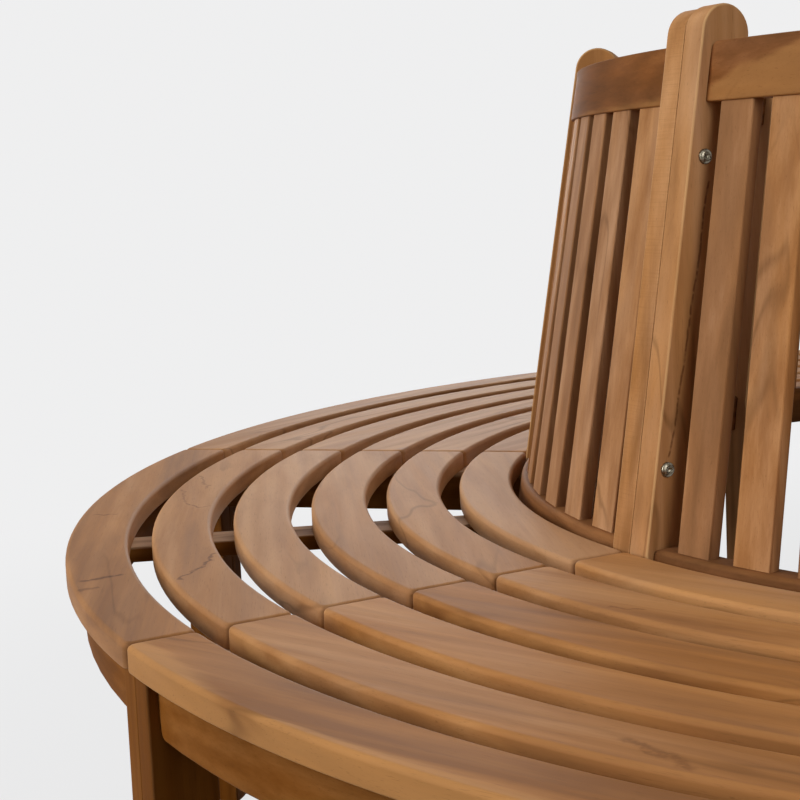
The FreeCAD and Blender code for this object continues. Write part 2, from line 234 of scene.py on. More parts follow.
def new_group(name, inputs, outputs):
    """An empty node group with its sockets, its inlet and its outlet."""
    group = bpy.data.node_groups.new(name, "ShaderNodeTree")
    for label, kind in inputs:
        group.interface.new_socket(name=label, in_out="INPUT", socket_type=kind)
    for label in outputs:
        group.interface.new_socket(name=label, in_out="OUTPUT", socket_type="NodeSocketFloat")
    given = group.nodes.new("NodeGroupInput").outputs
    return group, given, group.nodes.new("NodeGroupOutput").inputs


FIGURE = {  # scale across, along and through the plank, detail, roughness, distortion
    "sway across": ((7, 1.1, 7), 1.0),
    "sway through": ((6, 0.9, 7), 1.0),
    "band strength": ((24, 1.6, 24), 1.0),
    "coarse fibres": ((95, 2.6, 95), 3.0, 0.6, 0.3),
    "fine fibres": ((520, 7.0, 520), 2.0, 0.6),
    "pores": ((1500, 60, 1500), 1.0, 0.5),
    "line course": ((15, 2.8, 15), 2.0, 0.5, 0.35),
    "line places": ((6, 1.7, 6), 1.0),
    "broad streaks": ((13, 1.9, 13), 2.0, 0.5, 0.4),
    "narrow streaks": ((36, 4.2, 36), 3.0, 0.55, 0.5),
    "hues": ((21, 2.3, 27), 2.0, 0.5, 0.6),
    "saw marks": ((25, 760, 25), 2.0, 0.5, 0.2),
}
SWAY = 0.030
TAPER = 0.006
LINE_REACH = 0.020


def wood_figure():
    """The figure of teak: growth bands, fibres, pores, mineral lines, streaks of tone and hue."""
    group, given, made = new_group(
        "wood_figure", [("Plank", "NodeSocketVector"), ("Band Width", "NodeSocketFloat")],
        ["Bands", "Fibres", "Pores", "Lines", "Streaks", "Hues", "Saw Marks"],
    )
    noise = {part: add_noise(group, given["Plank"], *look) for part, look in FIGURE.items()}
    split = group.nodes.new("ShaderNodeSeparateXYZ")
    group.links.new(given["Plank"], split.inputs[0])
    squares = []
    for part, axis in (("sway across", "X"), ("sway through", "Z")):
        from_heart = add_math(group, "MULTIPLY_ADD", noise[part], SWAY, split.outputs[axis])
        squares.append(add_math(group, "MULTIPLY", from_heart, from_heart))
    round_heart = add_math(group, "SQRT", add_math(group, "ADD", *squares))
    radius = add_math(group, "MULTIPLY_ADD", split.outputs["Y"], TAPER, round_heart)
    years = add_math(group, "DIVIDE", radius, given["Band Width"])
    wave = add_math(group, "SINE", add_math(group, "MULTIPLY", years, 2 * pi))
    wave = add_math(group, "MULTIPLY", wave, noise["band strength"])
    group.links.new(add_math(group, "MULTIPLY_ADD", wave, 0.9, 0.5), made["Bands"])
    coarse = add_math(group, "MULTIPLY", noise["coarse fibres"], 0.65)
    fibres = add_math(group, "MULTIPLY_ADD", noise["fine fibres"], 0.35, coarse)
    group.links.new(fibres, made["Fibres"])
    group.links.new(add_limits(group, noise["pores"], 0.62, 0.76), made["Pores"])
    off_course = add_math(group, "ABSOLUTE", add_math(group, "SUBTRACT", noise["line course"], 0.5))
    line = add_limits(group, off_course, 0.0, LINE_REACH, 1.0, 0.0)
    where = add_limits(group, noise["line places"], 0.50, 0.62)
    group.links.new(add_math(group, "MULTIPLY", line, where), made["Lines"])
    broad = add_math(group, "MULTIPLY", noise["broad streaks"], 0.45)
    streaks = add_math(group, "MULTIPLY_ADD", noise["narrow streaks"], 0.55, broad)
    group.links.new(streaks, made["Streaks"])
    group.links.new(noise["hues"], made["Hues"])
    group.links.new(noise["saw marks"], made["Saw Marks"])
    return group


def worn_edge():
    """Where a rounded edge is rubbed paler, in patches, and where a board shows its end grain."""
    group, given, made = new_group(
        "worn_edge", [("Plank", "NodeSocketVector"), ("Arris", "NodeSocketFloat")], ["Worn", "End"])
    along = add_noise(group, given["Plank"], (22, 9, 22), 3.0)
    patchy = add_limits(group, along, 0.30, 0.62, 0.35, 1.0)
    rubbed = add_math(group, "MAXIMUM", given["Arris"], 0.0)
    group.links.new(add_math(group, "MULTIPLY", patchy, rubbed), made["Worn"])
    sawn_off = add_math(group, "MULTIPLY", given["Arris"], -1.0)
    group.links.new(add_math(group, "MAXIMUM", sawn_off, 0.0), made["End"])
    return group


def dark_vein():
    """A thin dark vein that wanders from a start along its course and fades at both ends."""
    group, given, made = new_group(
        "dark_vein", [("Place", "NodeSocketVector"), ("Start", "NodeSocketVector"),
                      ("Course", "NodeSocketVector"), ("Width", "NodeSocketFloat"),
                      ("Wander", "NodeSocketFloat")], ["Vein"])
    offset, share, across = (group.nodes.new("ShaderNodeVectorMath") for step in range(3))
    offset.operation, share.operation, across.operation = "SUBTRACT", "DOT_PRODUCT", "CROSS_PRODUCT"
    group.links.new(given["Place"], offset.inputs[0])
    group.links.new(given["Start"], offset.inputs[1])
    for node in (share, across):
        group.links.new(offset.outputs["Vector"], node.inputs[0])
        group.links.new(given["Course"], node.inputs[1])
    length = group.nodes.new("ShaderNodeVectorMath")
    length.operation = "LENGTH"
    group.links.new(given["Course"], length.inputs[0])
    course = length.outputs["Value"]
    split = group.nodes.new("ShaderNodeSeparateXYZ")
    group.links.new(across.outputs["Vector"], split.inputs[0])
    wander = add_math(group, "SUBTRACT", add_noise(group, given["Place"], (70, 70, 0), 2.0), 0.5)
    wander = add_math(group, "MULTIPLY", wander, given["Wander"])
    aside = add_math(group, "DIVIDE", split.outputs["Z"], course)
    aside = add_math(group, "ABSOLUTE", add_math(group, "ADD", wander, aside))
    near = add_limits(group, add_math(group, "DIVIDE", aside, given["Width"]), 0.25, 1.0, 1.0, 0.0)
    square = add_math(group, "MULTIPLY", course, course)
    along = add_math(group, "DIVIDE", share.outputs["Value"], square)
    from_middle = add_math(group, "ABSOLUTE", add_math(group, "SUBTRACT", along, 0.5))
    inside = add_limits(group, from_middle, 0.40, 0.52, 1.0, 0.0)
    speckle = add_noise(group, given["Place"], (160, 160, 0), 1.0)
    patchy = add_limits(group, speckle, 0.30, 0.55, 0.45, 1.0)
    vein = add_math(group, "MULTIPLY", add_math(group, "MULTIPLY", near, inside), patchy)
    group.links.new(vein, made["Vein"])
    return group


WOOD_FIGURE = wood_figure()
WORN_EDGE = worn_edge()
DARK_VEIN = dark_vein()

BAND_WIDTH = 0.014
TONE_SHARES = (("Bands", 0.16), ("Fibres", 0.70), ("Streaks", 2.1))
COOL, WARM = (0.94, 1.0, 1.22), (1.06, 1.0, 0.86)
VEIN_SHADE = (0.42, 0.36, 0.36)
SHEEN_TINT = (0.6, 0.5, 0.4, 1)
PORE_DEPTH = 0.0003


def wood(name, dark, base, light, pale_colour, edge=0.12, lines=0.38, spread=0.14, saw=0.0, sap_and_lit_top=0.6,
         veins=(), veins_towards=None, wander=0.016, sheen=0.1):
    """Teak as it comes from the plane, in the colours of one part of the bench, with any painted
    light.

    edge, lines and saw say how strong rubbed edges, mineral lines and saw marks are; the strength
    after saw is that of the pale sapwood, which on the tops of the bars is painted light from
    above.
    spread says how much boards differ in brightness. Veins are placed on the seat as seen from
    above, or with veins_towards on an upright plane that runs from the centre that way.
    """
    material = bpy.data.materials.new(name)
    material.use_nodes = True
    tree = material.node_tree
    surface = tree.nodes["Principled BSDF"]
    plank, look_and_light, arris = (tree.nodes.new("ShaderNodeAttribute") for layer in range(3))
    plank.attribute_name, look_and_light.attribute_name, arris.attribute_name = "plank", "tint", "arris"
    tint = tree.nodes.new("ShaderNodeSeparateXYZ")
    tree.links.new(look_and_light.outputs["Vector"], tint.inputs[0])
    brightness, warmth, sapwood_and_lit_top = (tint.outputs[axis] for axis in "XYZ")
    figure, wear = (tree.nodes.new("ShaderNodeGroup") for group in range(2))
    figure.node_tree, wear.node_tree = WOOD_FIGURE, WORN_EDGE
    figure.inputs["Band Width"].default_value = BAND_WIDTH
    for group in (figure, wear):
        tree.links.new(plank.outputs["Vector"], group.inputs["Plank"])
    tree.links.new(arris.outputs["Fac"], wear.inputs["Arris"])

    tone = add_math(tree, "MULTIPLY_ADD", brightness, spread, 0.5)
    for part, amount in TONE_SHARES:
        change = add_math(tree, "MULTIPLY_ADD", figure.outputs[part], amount, -amount / 2)
        tone = add_math(tree, "ADD", tone, change)
    ramp = tree.nodes.new("ShaderNodeValToRGB")
    ramp.color_ramp.elements[0].color = (*dark, 1)
    ramp.color_ramp.elements[1].color = (*light, 1)
    ramp.color_ramp.elements.new(0.5).color = (*base, 1)
    tree.links.new(tone, ramp.inputs["Fac"])
    hue = add_math(tree, "MULTIPLY_ADD", figure.outputs["Hues"], 2.0, -0.5)
    hue = add_math(tree, "MULTIPLY_ADD", warmth, 0.35, hue)
    colour = add_mix(tree, 1.0, ramp.outputs["Color"], add_mix(tree, hue, COOL, WARM), "MULTIPLY")
    # Paler where the sapwood lies; on the tops of the bars this paleness is painted light from
    # above.
    paler = add_math(tree, "MULTIPLY_ADD", figure.outputs["Streaks"], 0.9, sapwood_and_lit_top)
    colour = add_mix(tree, add_limits(tree, paler, 0.95, 1.15, 0.0, sap_and_lit_top), colour,
                     [part * 1.1 for part in pale_colour])
    deep, deeper, deepest = ([part * share for part in dark] for share in (0.45, 0.4, 0.35))
    for mask, strength, shade in (
            (figure.outputs["Pores"], 0.26, deepest), (figure.outputs["Lines"], lines, deep),
            (wear.outputs["Worn"], edge, pale_colour), (wear.outputs["End"], 0.3, deeper)):
        colour = add_mix(tree, add_math(tree, "MULTIPLY", mask, strength), colour, shade)

    if veins:
        place = tree.nodes.new("ShaderNodeTexCoord").outputs["Object"]
    if veins_towards:
        outward, height, upright = (tree.nodes.new(f"ShaderNode{kind}")
                                    for kind in ("VectorMath", "SeparateXYZ", "CombineXYZ"))
        outward.operation = "DOT_PRODUCT"
        outward.inputs[1].default_value = veins_towards
        tree.links.new(place, outward.inputs[0])
        tree.links.new(place, height.inputs[0])
        tree.links.new(outward.outputs["Value"], upright.inputs["X"])
        tree.links.new(height.outputs["Z"], upright.inputs["Y"])
        place = upright.outputs[0]
    for start, end, width, depth in veins:
        vein = tree.nodes.new("ShaderNodeGroup")
        vein.node_tree = DARK_VEIN
        tree.links.new(place, vein.inputs["Place"])
        vein.inputs["Start"].default_value = (*start, 0)
        vein.inputs["Course"].default_value = (end[0] - start[0], end[1] - start[1], 0)
        vein.inputs["Width"].default_value = width
        vein.inputs["Wander"].default_value = wander
        shade = add_mix(tree, 1.0, colour, VEIN_SHADE, "MULTIPLY")
        strength = add_math(tree, "MULTIPLY", vein.outputs["Vein"], depth)
        colour = add_mix(tree, strength, colour, shade)
    if saw:
        rough_sawn = add_math(tree, "MULTIPLY", add_limits(tree, warmth, -0.1, 0.1), saw)
        marks = add_limits(tree, figure.outputs["Saw Marks"], 0.45, 0.7)
        colour = add_mix(tree, add_math(tree, "MULTIPLY", marks, rough_sawn), colour, dark)
    tree.links.new(colour, surface.inputs["Base Color"])

    roughness = add_math(tree, "MULTIPLY_ADD", figure.outputs["Fibres"], 0.16, 0.50)
    tree.links.new(roughness, surface.inputs["Roughness"])
    surface.inputs["Specular IOR Level"].default_value = sheen
    surface.inputs["Specular Tint"].default_value = SHEEN_TINT
    sunken = add_math(tree, "MULTIPLY", figure.outputs["Pores"], -0.7)
    relief = add_math(tree, "MULTIPLY_ADD", figure.outputs["Fibres"], 0.6, sunken)
    bump = tree.nodes.new("ShaderNodeBump")
    bump.inputs["Strength"].default_value = 0.25
    bump.inputs["Distance"].default_value = PORE_DEPTH
    tree.links.new(relief, bump.inputs["Height"])
    tree.links.new(bump.outputs["Normal"], surface.inputs["Normal"])
    return material


SEEN_VEINS = [  # start and end on the seat, width, depth: the dark marks in the photograph
    ((-0.8176, -0.6049), (-0.8194, -0.5752), 0.0026, 0.9),
    ((-0.8194, -0.5752), (-0.8182, -0.5580), 0.0028, 1.0),
    ((-0.8182, -0.5580), (-0.8281, -0.5109), 0.0028, 0.9),
    ((-0.9878, -0.2411), (-0.9520, -0.3105), 0.0022, 0.5),
    ((-0.9520, -0.3105), (-0.9302, -0.3311), 0.0018, 0.7),
    ((-0.9302, -0.3311), (-0.9177, -0.3216), 0.0018, 0.6),
    ((-1.0028, -0.1647), (-0.9594, -0.2393), 0.0024, 0.5),
    ((-1.0228, -0.3729), (-0.9972, -0.3672), 0.0022, 0.6),
    ((-0.9010, -0.6198), (-0.8745, -0.5909), 0.0045, 0.9),
    ((-0.8879, -0.6461), (-0.8744, -0.6328), 0.0070, 0.6),
    ((-0.4556, -0.8573), (-0.4116, -0.8734), 0.0022, 0.5),
    ((-0.3993, -0.9104), (-0.3486, -0.9533), 0.0060, 0.5),
    ((-0.4549, -0.6447), (-0.4240, -0.6492), 0.0025, 0.5),
    ((-0.4754, -0.5560), (-0.4328, -0.5822), 0.0025, 0.5),
]
SEAT_WOOD = wood("seat_wood", dark=(0.235, 0.100, 0.035), base=(0.384, 0.171, 0.057),
                 light=(0.522, 0.264, 0.104), pale_colour=(0.490, 0.242, 0.084), sheen=0.085,
                 veins=SEEN_VEINS)

# Painted sheen: in sections 3 and 4 the boards are cooler and mostly brighter, for the pale
# reflection on the far seat.
SEEN_SLATS = {  # ring and section: brightness, warmth, sapwood and its slope, as in the photograph
    (0, 3): (1.0, -1.4, -0.6, 0.0), (1, 3): (2.2, -1.4, -0.6, 0.0), (2, 3): (1.6, -1.4, -0.6, 0.0),
    (3, 3): (2.0, -1.4, -0.6, 0.0), (4, 3): (1.8, -1.4, -0.6, 0.0), (5, 3): (2.2, -1.4, -0.6, 0.0),
    (0, 4): (-0.6, -0.8, -0.6, 0.0), (1, 4): (0.8, -0.9, -0.6, 0.0), (2, 4): (2.1, -0.9, -0.6, 0.0),
    (3, 4): (1.4, -0.9, -0.6, 0.0), (4, 4): (1.3, -0.9, -0.6, 0.0), (5, 4): (2.6, -1.8, -0.6, 0.0),
    (0, 5): (-2.7, 1.1, 0.19, -0.12), (1, 5): (0.1, 0.2, 0.0, 0.0), (2, 5): (0.6, 0.6, 0.05, 0.0),
    (3, 5): (-2.6, 0.9, 0.0, 0.0), (4, 5): (1.8, 0.2, 0.0, 0.0), (5, 5): (1.9, 0.2, -0.2, 0.0),
}


def seat_slat(outer, chance, look_and_light):
    """One curved slat, from joint to joint, rounded over on top and eased below."""
    inner = outer - SLAT_WIDTH
    low = SEAT_TOP - SLAT_THICKNESS
    profile = [(inner, low), (outer, low), (outer, SEAT_TOP), (inner, SEAT_TOP)]
    board = curved_board(profile, SLAT_END_GAP)
    corners = sharp_edges(board, lambda at, along: abs(along.z) > 0.01)
    round_over(board, corners, SLAT_CORNER_ROUNDING)
    top = sharp_edges(board, lambda at, along: at.z > SEAT_TOP - NEARLY)
    round_over(board, top, SLAT_TOP_ROUNDING, 4)
    bottom = sharp_edges(board, lambda at, along: at.z < low + NEARLY)
    round_over(board, bottom, SLAT_BOTTOM_ROUNDING, 2)
    finish_board(board, chance, look_and_light=look_and_light, open_ends=True)
    return board


for ring in range(RINGS):
    gathered = bmesh.new()
    for section in range(SECTIONS):
        chance = random.Random(f"seat slat {ring} {section}")
        turn = Matrix.Rotation((section + 0.5) * SECTION_ANGLE, 4, "Z")
        board = seat_slat(SEAT_RADIUS - ring * SLAT_PITCH, chance, SEEN_SLATS.get((ring, section)))
        add_board(gathered, board, turn)
    make_piece(gathered, f"seat_slats_{ring + 1}", SEAT_WOOD, [f"seat_ring_{ring + 1}"])


# ---------------------------------------------------------------------------------------------
# Aprons: curved boards 46 by 25 mm on edge under the seat, set 14 mm back from its edge.
# They run from leg to leg, are sawn from thicker planks, and are glued into the front legs.

LEG_PAIR_WIDTH = 0.0504
FRAME_HEIGHT = 0.046
APRON_FACE = 1.086
APRON_THICKNESS = 0.025
APRON_STEPS = 20
APRON_CORNER_ROUNDING = 0.0080
APRON_EDGE_ROUNDING = 0.0025
CORNER_MARGIN = 0.0015  # from a rounded corner to where it surely has ended

# Painted shade: the same teak as the posts, made darker for the parts under the seat; its pale
# colour is painted light on the tops of the bearers and battens.
SHADED_FRAME_WOOD = wood("frame_wood", dark=(0.105, 0.034, 0.005), base=(0.185, 0.063, 0.010),
                  light=(0.290, 0.115, 0.027), pale_colour=(0.650, 0.420, 0.255), edge=0.05, sap_and_lit_top=0.75,
                  sheen=0.02)

SEEN_APRONS = {4: (-0.5, 0.0, -0.9, 0.0), 5: (1.8, 0.2, -0.9, 0.0)}


def runs_across(at, along):
    """Whether an edge runs from the inner face of a curved board to its outer one."""
    return abs(along.normalized().dot(at.normalized())) > 0.5


gathered = bmesh.new()
seat_underside = SEAT_TOP - SLAT_THICKNESS
low = seat_underside - FRAME_HEIGHT
back = APRON_FACE - APRON_THICKNESS
rounded = low + APRON_CORNER_ROUNDING + CORNER_MARGIN
profile = [(back, low), (APRON_FACE, low), (APRON_FACE, seat_underside), (back, seat_underside)]
for section in range(SECTIONS):
    chance = random.Random(f"apron {section}")
    board = curved_board(profile, LEG_PAIR_WIDTH, APRON_STEPS)
    corners = sharp_edges(board, lambda at, along: at.z < low + NEARLY and runs_across(at, along))
    round_over(board, corners, APRON_CORNER_ROUNDING, 5)
    round_over(board, sharp_edges(board, lambda at, along: at.z < rounded), APRON_EDGE_ROUNDING)
    finish_board(board, chance, look_and_light=SEEN_APRONS.get(section))
    add_board(gathered, board, Matrix.Rotation((section + 0.5) * SECTION_ANGLE, 4, "Z"))
make_piece(gathered, "curved_aprons", SHADED_FRAME_WOOD, ["aprons"])


# ---------------------------------------------------------------------------------------------
# Legs: at every joint two legs stand side by side, one from each section, 50 mm deep and 25 mm
# wide. The front ones are plain uprights under the seat. The back ones run on past the seat,
# lean inwards by 9.4 degrees as the posts of the back and end in a half-round top.

LEG_WIDTH = 0.025
LEG_DEPTH = 0.050
LEG_SEAM = 0.0004
FRONT_LEG_FACE = 1.094
BACK_LEG_FACE = 0.661
BACK_LEAN = radians(9.4)
BACK_TOP = 0.897
LOWER_BY = 0.0015  # the top of one half of each post below the other
CROWN_STEPS = 16
LEG_ROUNDING = 0.0022
SEAM_ROUNDING = {1: 0.0014, -1: 0.0010}

SEEN_CRACK = [  # radius and height on the side of the post that the photograph shows
    (0.5868, 0.7502), (0.5918, 0.7295), (0.5952, 0.7083), (0.6004, 0.6755), (0.6058, 0.6566),
    (0.6099, 0.6375), (0.6172, 0.5974), (0.6240, 0.5708), (0.6285, 0.5440), (0.6363, 0.5195),
]
CRACK_WIDTH = 0.0016
CRACK_DEPTH = 0.9
CRACKED_JOINT = 5
POST_WOOD = wood(
    "post_wood", dark=(0.320, 0.144, 0.048), base=(0.485, 0.234, 0.087),
    light=(0.612, 0.322, 0.138), pale_colour=(0.700, 0.420, 0.190), edge=0.6, spread=0.06, saw=0.22,
    veins=[(*ends, CRACK_WIDTH, CRACK_DEPTH) for ends in zip(SEEN_CRACK, SEEN_CRACK[1:])],
    veins_towards=(cos(CRACKED_JOINT * SECTION_ANGLE), sin(CRACKED_JOINT * SECTION_ANGLE), 0.0),
    wander=0.003, sheen=0.06,
)

SEEN_POSTS = {  # joint and half of the pair
    (5, -1): (-1.3, 0.1, -0.9, 0.0), (5, 1): (0.3, -0.4, -0.9, 0.0),
    (4, -1): (-8.0, 0.4, -0.9, 0.0), (4, 1): (-8.0, 0.4, -0.9, 0.0),
}


def newly_made(made, kind):
    """The corners, or the edges, that an extrusion made."""
    return [part for part in made["geom"] if isinstance(part, kind)]


def side_board(outline, near, width):
    """A board cut to a side outline in the plane of the joint, from near to near + width."""
    mesh = new_board_mesh()
    face = mesh.faces.new([mesh.verts.new((across, near, up)) for across, up in outline])
    made = bmesh.ops.extrude_face_region(mesh, geom=[face])
    bmesh.ops.translate(mesh, vec=(0, width, 0), verts=newly_made(made, bmesh.types.BMVert))
    bmesh.ops.recalc_face_normals(mesh, faces=mesh.faces)
    return mesh


def half_of_pair(side):
    """Where one of two boards side by side begins, across the joint, and how wide it is."""
    return LEG_SEAM / 2 if side > 0 else -LEG_SEAM / 2 - LEG_WIDTH, LEG_WIDTH


def leg(outline, chance, side, look_and_light):
    """One half of a leg pair, its outer corners rounded more than those along the seam."""
    board = side_board(outline, *half_of_pair(side))
    seam = LEG_SEAM / 2 * side
    outside = (LEG_SEAM / 2 + LEG_WIDTH) * side
    corners = sharp_edges(board, lambda at, along: abs(at.y - outside) < NEARLY)
    round_over(board, corners, LEG_ROUNDING)
    corners = sharp_edges(board, lambda at, along: abs(at.y - seam) < NEARLY)
    round_over(board, corners, SEAM_ROUNDING[side], 2)
    finish_board(board, chance, "Z", look_and_light)
    return board


def leaning(radius, height):
    """A point on a face that leans with the back, from its radius at seat height."""
    return radius - (height - SEAT_TOP) * tan(BACK_LEAN), height


front_outline = [(FRONT_LEG_FACE - LEG_DEPTH, 0), (FRONT_LEG_FACE, 0),
                 (FRONT_LEG_FACE, seat_underside), (FRONT_LEG_FACE - LEG_DEPTH, seat_underside)]


def post_outline(top):
    """The side outline of a back leg: upright to the seat, then leaning, half round on top."""
    crown = LEG_DEPTH * cos(BACK_LEAN) / 2
    across, up = leaning(BACK_LEG_FACE - LEG_DEPTH / 2, top - crown)
    outline = [(BACK_LEG_FACE - LEG_DEPTH, 0), (BACK_LEG_FACE, 0), (BACK_LEG_FACE, SEAT_TOP)]
    for step in range(CROWN_STEPS + 1):
        turn = BACK_LEAN + pi * step / CROWN_STEPS
        outline.append((across + crown * cos(turn), up + crown * sin(turn)))
    return outline + [(BACK_LEG_FACE - LEG_DEPTH, SEAT_TOP)]


for joint in range(SECTIONS):
    turn = Matrix.Rotation(joint * SECTION_ANGLE, 4, "Z")
    front, back = bmesh.new(), bmesh.new()
    for side, top in ((1, BACK_TOP), (-1, BACK_TOP - LOWER_BY)):
        chance = random.Random(f"front leg {joint} {side}")
        add_board(front, leg(front_outline, chance, side, None), turn)
        chance = random.Random(f"back leg {joint} {side}")
        add_board(back, leg(post_outline(top), chance, side, SEEN_POSTS.get((joint, side))), turn)
    make_piece(front, f"front_leg_pair_{joint + 1}", SHADED_FRAME_WOOD, [f"front_legs_{joint + 1}"])
    make_piece(back, f"back_leg_pair_{joint + 1}", POST_WOOD, [f"back_legs_{joint + 1}"])


# ---------------------------------------------------------------------------------------------
# Bearers: under the slat ends two bars, 46 mm high, run from the front legs to the back legs.
# The slats of either section are screwed to their own bar. One wider, flatter batten ties the
# slats together under the middle of every section.

BATTEN_WIDTH = 0.045
BATTEN_THICKNESS = 0.015
BOTTOM_RAIL_FACE = 0.654
FIT = 0.0003
BAR_ROUNDING = 0.0015
# Painted light: the tops of the bearers and battens are made paler, as if lit from above.
PAINTED_LIGHT_ON_TOP = (0.0, 0.0, 0.16, 0.0)


def straight_bar(outline, near, width, chance):
    """A bar under the slats, its long edges eased, its top painted paler as painted light from
    above.
    """
    board = side_board(outline, near, width)
    round_over(board, sharp_edges(board, lambda at, along: abs(along.x) > 0.1), BAR_ROUNDING, 2)
    # Painted light: the top of the bar is made paler, as if lit from above.
    finish_board(board, chance, "X", PAINTED_LIGHT_ON_TOP, upright=-1)
    return board


for joint in range(SECTIONS):
    gathered = bmesh.new()
    low = seat_underside - FRAME_HEIGHT
    outline = [(BACK_LEG_FACE, low), (FRONT_LEG_FACE - LEG_DEPTH, low),
               (FRONT_LEG_FACE - LEG_DEPTH, seat_underside), (BACK_LEG_FACE, seat_underside)]
    for side in (1, -1):
        chance = random.Random(f"bearer {joint} {side}")
        board = straight_bar(outline, *half_of_pair(side), chance)
        add_board(gathered, board, Matrix.Rotation(joint * SECTION_ANGLE, 4, "Z"))
    make_piece(gathered, f"bearer_pair_{joint + 1}", SHADED_FRAME_WOOD, [f"seat_bearers_{joint + 1}"])

for section in range(SECTIONS):
    gathered = bmesh.new()
    low = seat_underside - BATTEN_THICKNESS
    reach = ((APRON_FACE - APRON_THICKNESS - FIT) ** 2 - (BATTEN_WIDTH / 2) ** 2) ** 0.5
    outline = [leaning(BOTTOM_RAIL_FACE + FIT, low), (reach, low),
               (reach, seat_underside), leaning(BOTTOM_RAIL_FACE + FIT, seat_underside)]
    chance = random.Random(f"batten {section}")
    board = straight_bar(outline, -BATTEN_WIDTH / 2, BATTEN_WIDTH, chance)
    add_board(gathered, board, Matrix.Rotation((section + 0.5) * SECTION_ANGLE, 4, "Z"))
    make_piece(gathered, f"batten_{section + 1}", SHADED_FRAME_WOOD, [f"seat_batten_{section + 1}"])


# ---------------------------------------------------------------------------------------------
# Back rails: between the posts of each section a bottom and a top rail, 50 by 25 mm, curved with
# the seat and leaning with the back. The top rail has rounded upper corners and edges.

RAIL_HEIGHT = 0.050
RAIL_THICKNESS = 0.025
TOP_RAIL_FACE = 0.651
BOTTOM_RAIL_TOP = 0.444
TOP_RAIL_TOP = 0.865
RAIL_STEPS = 20
RAIL_CORNER_ROUNDING = 0.0080
RAIL_TOP_ROUNDING = 0.0042
RAIL_BOTTOM_ROUNDING = 0.0020
NEAR = 1e-4  # the same as NEARLY, for the faces of a board that leans

RAIL_WOOD = wood("rail_wood", dark=(0.116, 0.045, 0.014), base=(0.220, 0.084, 0.026),
                 light=(0.362, 0.152, 0.050), pale_colour=(0.370, 0.175, 0.058), spread=0.30,
                 sheen=0.03)

SEEN_TOP_RAILS = {4: (-0.5, 0.2, 0.12, 0.1), 5: (-0.6, -0.2, 1.60, 1.35)}


def back_rail(face, top, chance, corner, look_and_light):
    """A curved rail between two posts, its upper ends rounded by the corner radius."""
    under = top - RAIL_HEIGHT
    profile = [leaning(face - RAIL_THICKNESS, under), leaning(face, under),
               leaning(face, top), leaning(face - RAIL_THICKNESS, top)]
    board = curved_board(profile, LEG_PAIR_WIDTH, RAIL_STEPS)
    if corner:
        ends = sharp_edges(board, lambda at, along: at.z > top - NEAR and runs_across(at, along))
        round_over(board, ends, corner, 5)
    rounded = top - RAIL_CORNER_ROUNDING - CORNER_MARGIN
    upper = sharp_edges(board, lambda at, along: at.z > rounded)
    round_over(board, upper, RAIL_TOP_ROUNDING, 4)
    lower = sharp_edges(board, lambda at, along: at.z < under + NEAR)
    round_over(board, lower, RAIL_BOTTOM_ROUNDING, 2)
    finish_board(board, chance, look_and_light=look_and_light, upright=1)
    return board


for name, face, top, corner, seen in (
        ("bottom_rail", BOTTOM_RAIL_FACE, BOTTOM_RAIL_TOP, 0, {}),
        ("top_rail", TOP_RAIL_FACE, TOP_RAIL_TOP, RAIL_CORNER_ROUNDING, SEEN_TOP_RAILS)):
    gathered = bmesh.new()
    for section in range(SECTIONS):
        chance = random.Random(f"{name} {section}")
        board = back_rail(face, top, chance, corner, seen.get(section))
        add_board(gathered, board, Matrix.Rotation((section + 0.5) * SECTION_ANGLE, 4, "Z"))
    make_piece(gathered, f"curved_{name}s", RAIL_WOOD, [f"{name}s"])


# ---------------------------------------------------------------------------------------------
# Upright slats: seven in the back of each section, 38 by 12.5 mm, straight, leaning with the
# back between the bottom rail and the top rail, with lightly rounded corners.

BACK_SLATS = 7
BACK_SLAT_WIDTH = 0.038
BACK_SLAT_THICKNESS = 0.0125
BACK_SLAT_FACE = 0.648
BACK_SLAT_ROUNDING = 0.0018
END_SPACE_SHARE = 0.88  # of the space between two slats

BACK_WOOD = wood("back_slat_wood", dark=(0.232, 0.101, 0.034), base=(0.352, 0.158, 0.056),
                 light=(0.555, 0.287, 0.122), pale_colour=(0.470, 0.225, 0.085), edge=0.15,
                 sheen=0.10)

SEEN_UPRIGHTS = {  # section and place
    (4, 2): (0.0, -0.6, -0.9, 0.0), (4, 3): (0.0, -1.4, -0.9, 0.0), (4, 4): (0.5, -1.5, -0.9, 0.0),
    (4, 5): (0.3, -1.6, -0.9, 0.0), (4, 6): (1.9, -0.3, -0.9, 0.0), (5, 0): (-1.1, -1.4, -0.9, 0.0),
    (5, 1): (1.6, 0.5, -0.9, 0.0),
}


def half_angle(width):
    """Half the angle that a width takes up at the face of the upright slats."""
    return asin(width / 2 / BACK_SLAT_FACE)


